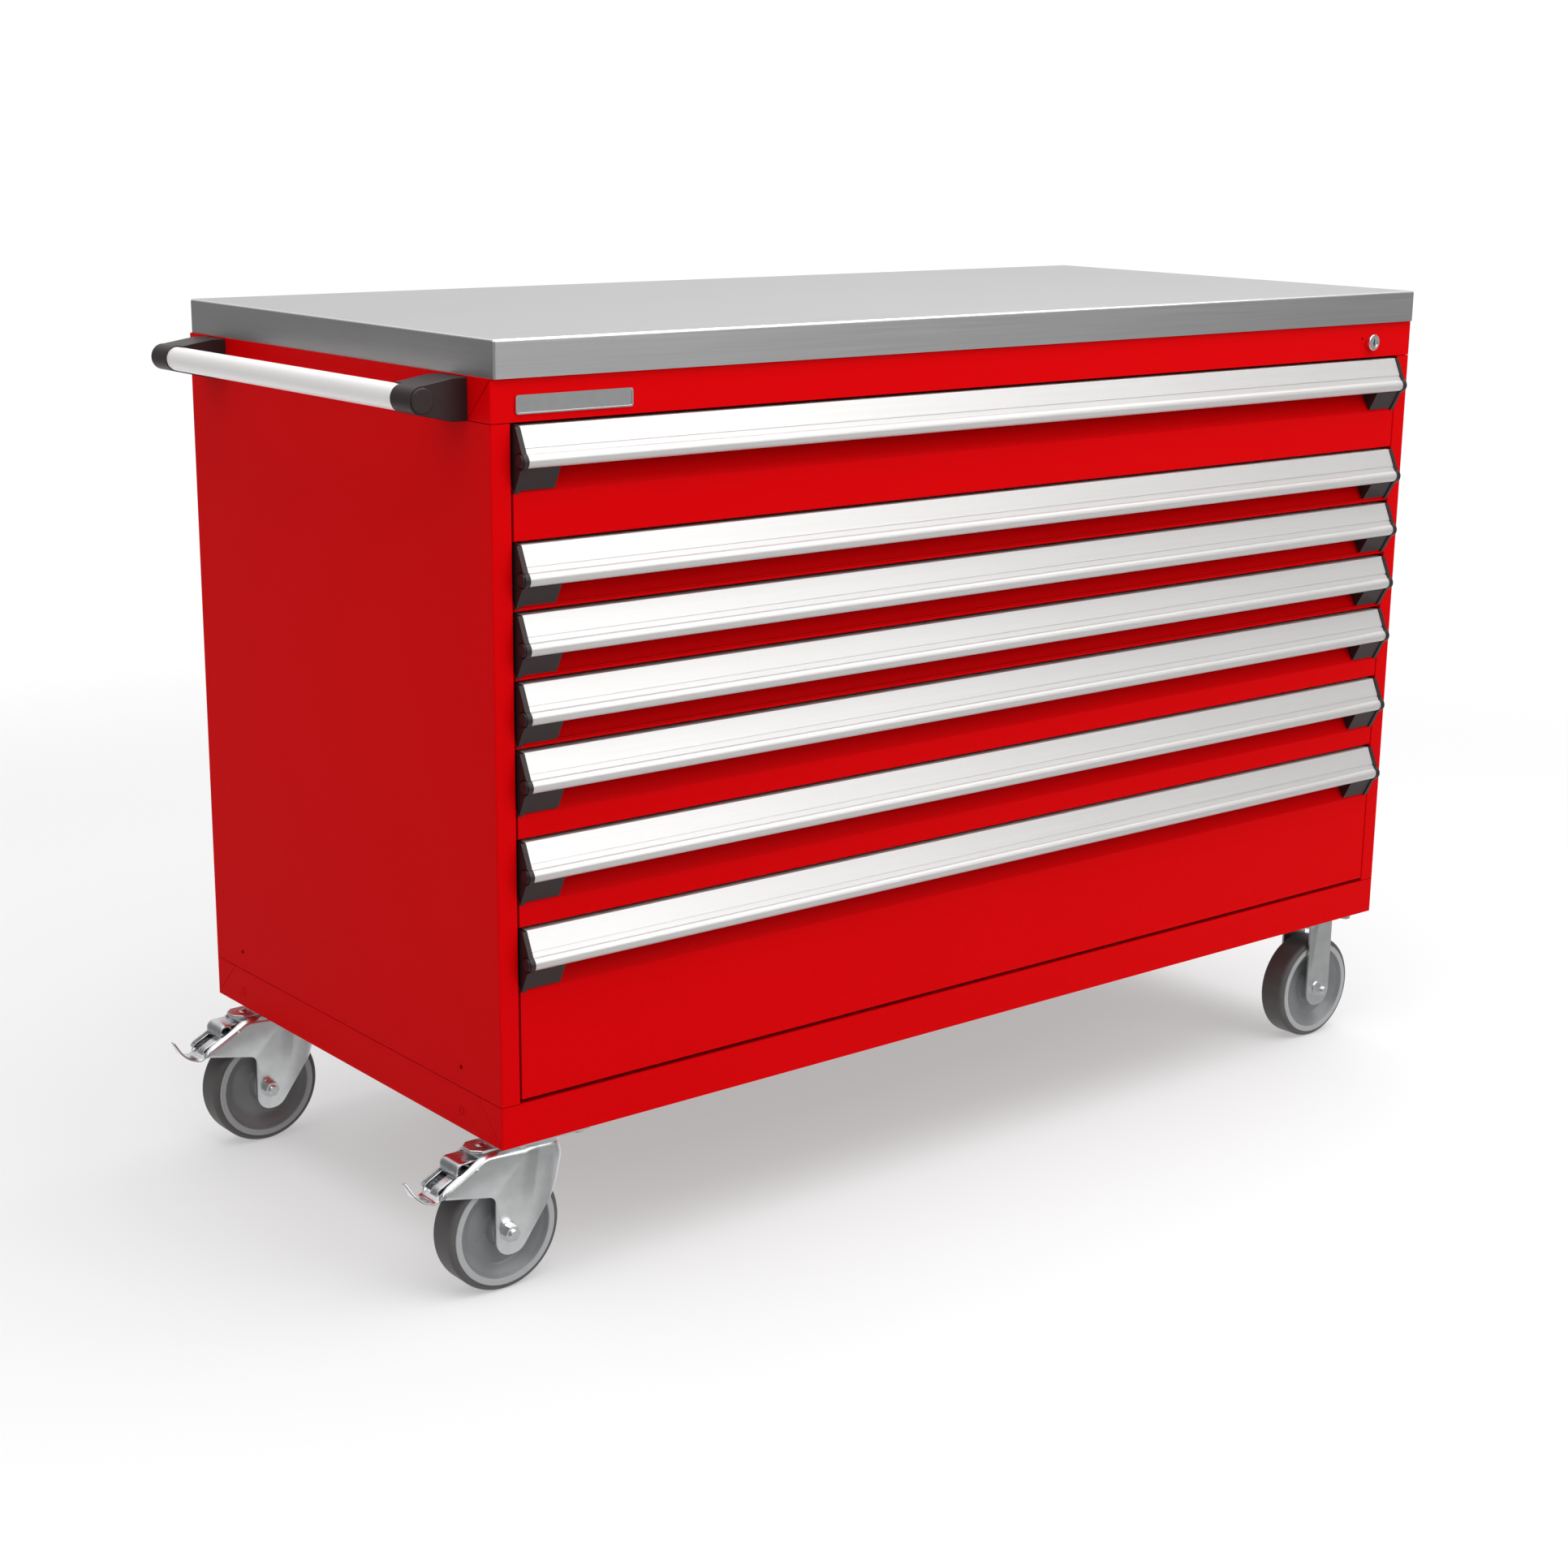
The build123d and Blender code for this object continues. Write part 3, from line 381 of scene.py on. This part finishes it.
def fork_sheet(bm):
    # the line where each leg starts to roll over, from the front down to the arm's tip:
    # x, z and the radius of the roll
    shoulder = [
        (4, -92, 0.5), (8.5, -81, 4), (11.5, -68, 8), (13, -54, 12), (15, -42, 14),
        (15, -35, 14), (13.5, -30, 14), (10, -27, 13.5), (3, -26, 13), (-10, -25.6, 12.5),
        (-20, -26.4, 12), (-25, -28.4, 13), (-31, -27.2, 12.5), (-44, -26.0, 11),
        (-60, -24.4, 9), (-74, -23.4, 7.8), (-80, -25.0, 7.5), (-86, -28.4, 7.5),
        (-97, -34.4, 7.5), (-112, -42.4, 7.5), (-125, -48.8, 7), (-131, -52, 6), (-134, -55, 4),
    ]
    edge = [Vector((u, z)) for u, z, _ in shoulder]
    sides = normals(edge)
    leg_end = [(4, -92), (-34, -143.5), (-68, -146), (-67, -69), (-134, -55)]
    foot = turned(leg_end, [0, 20, 20, 10, 0])[1:-1]
    turns = 6
    for side in (-1, 1):
        rows = []
        for point, out, (_, _, bend) in zip(edge, sides, shoulder):
            row = []
            for k in range(turns + 1):
                angle = k / turns * math.pi / 2
                at = point + out * bend * math.sin(angle)
                y = side * (LEG_OUT - bend + bend * math.cos(angle))
                row.append((at.x, y, at.y))
            rows.append(row)
        # the right leg is its mirror image, so its rows and its outline run the other way
        flip = 1 if side < 0 else -1
        leg = [row[0] for row in skin(bm, rows[::flip])[::flip]]
        leg += [bm.verts.new((p.x, side * LEG_OUT, p.y)) for p in foot[::-1]]
        bm.faces.new(leg[::-flip])
    crown = [(p + out * bend, bend) for p, out, (_, _, bend) in zip(edge, sides, shoulder)]
    across = (1.0, 0.5, 0.0, -0.5, -1.0)
    skin(bm, [[(at.x, (LEG_OUT - bend) * y, at.y) for y in across] for at, bend in crown[4:16]])
    lip = [(-74.5, -15.6), (-80, -17.6), (-84, -21.5), (-86, -28), (-86.5, -34)]
    skin(bm, [[(x, 18.2 * y, z) for y in across] for x, z in lip])
    bmesh.ops.remove_doubles(bm, verts=bm.verts, dist=0.05)
    bmesh.ops.recalc_face_normals(bm, faces=bm.faces)


def crown_details(bm):
    def disc(x, radius, top, low, high):
        made = bmesh.ops.create_cone(
            bm, cap_ends=True, segments=48, depth=high - low, radius1=radius, radius2=top,
        )
        bmesh.ops.translate(bm, vec=(x, 0, (low + high) / 2), verts=made["verts"])
    disc(0, 33.5, 33.5, -17.0, -11.0)
    corners = [(-50, -19), (-50, 19), (-80, 19), (-90, 9), (-90, -9), (-80, -19)]
    cover = turned(corners, [1, 1, 4, 4, 4, 4])
    solid(
        bm,
        [(p.x, p.y, -15.0) for p in cover],
        [(p.x * 0.985 - 1.0, p.y * 0.94, -11.6) for p in cover],
    )
    disc(-70, 6.6, 5.9, -11.8, -10.9)
    disc(-70, 5.2, 3.4, -11.2, -9.9)
    bmesh.ops.recalc_face_normals(bm, faces=bm.faces)


def fork_zinc(w):
    """Bright zinc with a soft band of painted shade down the leg, standing in for the shading of
    a shallow pressed crease.
    """
    at = w.place()
    sockets = plated((0.90, 0.91, 0.91), (0.66, 0.68, 0.69), 0.22)(w)
    along = w.node("SeparateXYZ", {}, {0: at}, "X")
    height = w.node("SeparateXYZ", {}, {0: at}, "Z")
    lean = along - 0.16 * height
    # painted shade: a soft darker band along the leg where its crease would be shaded
    crease = w.between(lean, -0.026, -0.013) * (1 - w.between(lean, -0.006, -0.001))
    painted_crease_shade = crease * w.between(height, -0.100, -0.060)
    sockets["Base Color"] = w.blend(0.5 * painted_crease_shade, sockets["Base Color"], (0.42, 0.42, 0.41, 1))
    return sockets


pressed_zinc = finish("pressed_fork_zinc", fork_zinc)
for corner in ("front_swivel", "rear_swivel"):
    fork = mesh_piece(corner + "_pressed_fork", fork_sheet, corner, pressed_zinc, FORK_GAUGE)
    details = mesh_piece(corner + "_crown_plate", crown_details, corner, zinc)
    for piece in (fork, details):
        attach(piece, corner)
        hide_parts(corner + "_fork")


# ------------------------------------------------------------------ brake pedals
# Bent from 2.2 mm sheet between the arms: a floor with raised flanges and a tongue, a
# release tab rolled over on top and a thin curved lip for the shoe. Hinged on a pin.
PEDAL_GAUGE = 0.0022


def pedal_sheet(bm):
    def strip(line, halves, centre=0.0, cells=4):
        """Sheet along a line in x and z. Each point has its own half width."""
        across = [1 - 2 * k / cells for k in range(cells + 1)]
        skin(bm, [
            [(x, centre + half * y, z) for y in across] for (x, z), half in zip(line, halves)
        ])

    tongue = [(-99, -38.5), (-104, -39), (-127, -50.2), (-131, -52.6), (-133.5, -57.5)]
    strip(tongue, [7.5, 7.5, 7.0, 7.0, 7.0], centre=-1.0)
    lip = [(-131, -56.5), (-142, -63.0), (-160, -57.0), (-172.8, -34.5)]
    scoop = turned(lip, [0, 12, 26, 0], 6)
    narrowing = [18.4, 18.2, 18, 17.8, 17.4, 17, 16.6, 16.0]
    narrowing += [15.2, 14.4, 13.4, 12.2, 10.8, 9.2, 7.2, 3.2]
    strip(scoop, narrowing)
    curl = turned([(-97, -45), (-114.5, -41.5), (-114.5, -20.6), (-85, -20.6)], [0, 9, 9.5, 0], 8)
    strip(curl, [18.0] * (len(curl) - 1) + [17.0], cells=8)
    strip([(x, -20.6) for x in (-85.0, -81.5, -79.0, -77.4)], [17.0, 13.6, 9.6, 4.0])
    bmesh.ops.remove_doubles(bm, verts=bm.verts, dist=0.05)


def pedal_floor(bm):
    line = [Vector(p) for p in ((-90, -36.5), (-104, -42), (-120, -49.5), (-134, -56.5))]
    under = [point - Vector((0.8, 2.2)) for point in line]
    slab(bm, line + under[::-1], -16.4, 16.4)


def pedal_flanges(bm):
    for side in (-1, 1):
        rail = [
            (-88, -26.0), (-97, -30.2), (-112, -38.0), (-131, -47.6), (-136.5, -52.5),
            (-137.5, -58.5), (-132, -58.6), (-104, -45.0), (-90, -38.5),
        ]
        slab(bm, [Vector(p) for p in rail], side * 16.2, side * 18.6)
    made = bmesh.ops.create_cone(
        bm, cap_ends=True, segments=24, radius1=3.0, radius2=3.0, depth=54.4,
        matrix=Matrix.Rotation(math.pi / 2, 4, "X"),
    )
    bmesh.ops.translate(bm, vec=(-90, 0, -31), verts=made["verts"])
    bmesh.ops.recalc_face_normals(bm, faces=bm.faces)


def shaded_zinc(w):
    """Speckled plate on the floor of the pedal, painted dark as painted shade for the recess
    between the flanges.
    """
    at = w.place()
    speckle = w.noise(at, 420.0, 5.0)
    # painted shade: the floor is painted near black between paler specks, for the shaded recess
    share = w.between(speckle, 0.42, 0.66)
    return {
        "Base Color": w.blend(share, (0.045, 0.045, 0.048, 1), (0.30, 0.30, 0.31, 1)),
        "Metallic": 0.9,
        "Roughness": 0.30 + 0.2 * speckle,
        "Normal": w.relief(speckle, 0.0001, 0.5),
    }


pedal_zinc = finish("pedal_zinc", plated((0.84, 0.85, 0.86), (0.50, 0.52, 0.54), 0.16))
floor_painted_shade = finish("pedal_floor_zinc", shaded_zinc)
for corner, brake in (("front_swivel", "front_brake"), ("rear_swivel", "rear_brake")):
    bent = mesh_piece(corner + "_pedal_sheet", pedal_sheet, corner, pedal_zinc, PEDAL_GAUGE)
    rails = mesh_piece(corner + "_pedal_flanges", pedal_flanges, corner, pedal_zinc)
    base = mesh_piece(corner + "_pedal_floor", pedal_floor, corner, floor_painted_shade)
    for piece in (bent, rails, base):
        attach(piece, brake)
        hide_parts(corner + "_brake_pedal")


# ------------------------------------------------------------------ rigid forks
# A 48 mm strap of 3 mm steel bent into a U, with round ends, welded to its top plate.
# The plate is 104 by 84 mm and 6 mm thick, with rounded corners.
def strap(bm):
    outline = turned([(-24, -12), (24, -12), (24, -140), (-24, -140)], [0, 0, 22, 22])
    for side in (-1, 1):
        slab(bm, outline, *sorted((side * LEG_IN, side * LEG_OUT)))
    outer = [(26.2, -12.0), (25.6, -8.6), (23.6, -6.4), (20.6, -5.9)]
    inner = [(18.5, -8.9), (21.5, -9.4), (23.5, -11.6), (23.35, -12.0)]
    for side in (-1, 1):
        bend = [(side * y, z) for y, z in outer + inner]
        solid(bm, [(-24, y, z) for y, z in bend], [(24, y, z) for y, z in bend])
    base = turned([(-52, -42), (52, -42), (52, 42), (-52, 42)], [6, 6, 6, 6], 4)
    solid(bm, [(p.x, p.y, -6.0) for p in base], [(p.x, p.y, 0.0) for p in base])
    bmesh.ops.recalc_face_normals(bm, faces=bm.faces)


for corner in ("front_rigid", "rear_rigid"):
    fork = mesh_piece(corner + "_strap_fork", strap, corner, pressed_zinc)
    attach(fork, "housing")
    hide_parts("rigid_caster_forks")


# ------------------------------------------------------------------ wheels
# Cores moulded in grey nylon with a dished web, the flat rim ring painted paler as a painted
# highlight; dark grey rubber tyres bonded round them, a little scuffed on the tread.
AXLE_HEIGHT = 0.075
SWIVEL_OFFSET = 0.051


def wheel_grey(centre):
    """Grey moulding, painted paler outside the web's edge as a painted highlight on the rim ring.
    The centre is the wheel's.
    """
    def make(w):
        at = w.place()
        flow = w.noise(at, 25.0, 3.0)
        spoke = w.node("VectorMath", {"operation": "SUBTRACT"}, {0: at, 1: centre})
        flat = w.scaled(spoke, (1, 0, 1))
        radius = w.node("VectorMath", {"operation": "LENGTH"}, {0: flat}, 1)
        # painted highlight: the flat rim ring is painted paler than the shaded dish
        painted_rim_highlight = w.between(radius, 0.0588, 0.0602)
        web = w.blend(flow, (0.17, 0.175, 0.18, 1), (0.24, 0.245, 0.25, 1))
        return {
            "Base Color": w.blend(painted_rim_highlight, web, (0.36, 0.365, 0.37, 1)),
            "Roughness": 0.24 + 0.12 * flow,
            "Normal": w.relief(w.noise(at, 500.0, 2.0), 0.00003, 0.4),
        }
    return make


def rubber(w):
    at = w.place()
    scuff = w.noise(at, 45.0, 4.0)
    return {
        "Base Color": w.blend(scuff, (0.065, 0.060, 0.060, 1), (0.110, 0.102, 0.100, 1)),
        "Roughness": 0.42 + 0.25 * scuff,
        "Normal": w.relief(scuff, 0.0002, 0.4),
    }


tread = finish("tyre_rubber", rubber)
for corner, (x, y) in CASTERS.items():
    centre = (x - (SWIVEL_OFFSET if "swivel" in corner else 0), y, AXLE_HEIGHT)
    coat(finish(corner + "_core_grey", wheel_grey(centre)), corner + "_wheel")
    coat(tread, corner + "_tyre")


# ------------------------------------------------------------------ studio
# A pale floor that runs out to white, one wide softbox overhead, a softer one at the
# front right and a dim surround. The camera stands at the front left corner.
def lamp(name, place, aim, size, power):
    light = bpy.data.lights.new(name, "AREA")
    light.shape = "RECTANGLE"
    light.size, light.size_y = size
    light.energy = power
    stand = bpy.data.objects.new(name, light)
    stand.location = place
    stand.rotation_euler = (Vector(aim) - Vector(place)).to_track_quat("-Z", "Y").to_euler()
    bpy.context.scene.collection.objects.link(stand)


lamp("overhead_softbox", (0.3, -0.9, 3.4), (0.1, -0.1, 0.4), (4.6, 3.4), 105.0)
lamp("front_softbox", (1.6, -4.6, 2.6), (0.1, 0, 0.5), (3.4, 2.4), 70.0)
lamp("left_softbox", (-4.6, -0.2, 2.6), (-0.3, 0, 0.5), (2.4, 2.0), 20.0)

bpy.ops.mesh.primitive_plane_add(size=60.0)
floor = bpy.context.object
floor.name = "studio_floor"
floor.visible_glossy = False
floor_material = bpy.data.materials.new("studio_floor")
floor_material.use_nodes = True
floor_material.node_tree.nodes.clear()
w = Wire(floor_material.node_tree)
sheet = w.node("BsdfDiffuse", {}, {"Color": (0.46, 0.46, 0.46, 1)})
lit = w.node("Emission", {}, {"Color": (1, 1, 1, 1), "Strength": 0.40})
near = w.node("AddShader", {}, {0: sheet, 1: lit})
far = w.node("Emission", {}, {"Color": (1, 1, 1, 1), "Strength": 1.02})
reach = w.node("VectorMath", {"operation": "LENGTH"}, {0: w.place()}, 1)
mixed = w.node("MixShader", {}, {0: w.between(reach, 1.8, 3.6), 1: near, 2: far})
w.node("OutputMaterial", {}, {"Surface": mixed})
floor.data.materials.append(floor_material)

world = bpy.data.worlds.new("studio_surround")
world.use_nodes = True
world.node_tree.nodes.clear()
w = Wire(world.node_tree)
seen = w.node("LightPath", {}, {}, "Is Camera Ray")
aim = w.node("TexCoord", {}, {}, "Generated")


def towards(x, y):
    """How far a ray of the surround points to one side of the studio."""
    return w.node("VectorMath", {"operation": "DOT_PRODUCT"}, {0: aim, 1: (x, y, 0)}, 1)


rear = w.between(towards(0.62, 0.78), 0.25, 0.95)
front = w.between(towards(0.62, -0.78), 0.3, 0.95)
height = w.node("SeparateXYZ", {}, {0: aim}, "Z")
ceiling = w.between(height, 0.45, 0.80)
below = w.between(height, -0.26, -0.55)
dim = 0.20 + 0.62 * rear + 0.12 * front + 0.80 * ceiling + 0.34 * below
strength = dim * (1 - seen) + 1.05 * seen
surround = w.node("Background", {}, {"Color": (1, 1, 1, 1), "Strength": strength})
w.node("OutputWorld", {}, {"Surface": surround})
bpy.context.scene.world = world

EYE = Vector((-2.2044, -2.6618, 1.3302))
AZIMUTH, ELEVATION, ROLL = math.radians(-39.074), math.radians(14.474), math.radians(0.661)
back = Vector((
    math.sin(AZIMUTH) * math.cos(ELEVATION),
    -math.cos(AZIMUTH) * math.cos(ELEVATION),
    math.sin(ELEVATION),
))
right = back.cross(Vector((0, 0, -1))).normalized()
up = back.cross(right)
lens = bpy.data.cameras.new("studio_camera")
lens.lens, lens.sensor_width = 60.0, 36.0
lens.clip_start, lens.clip_end = 0.05, 200.0
camera = bpy.data.objects.new("studio_camera", lens)
turn = Matrix((
    math.cos(ROLL) * right + math.sin(ROLL) * up,
    math.cos(ROLL) * up - math.sin(ROLL) * right,
    back,
)).transposed()
camera.matrix_world = Matrix.Translation(EYE) @ turn.to_4x4()
bpy.context.scene.collection.objects.link(camera)
bpy.context.scene.camera = camera
bpy.context.scene.view_settings.view_transform = "Standard"
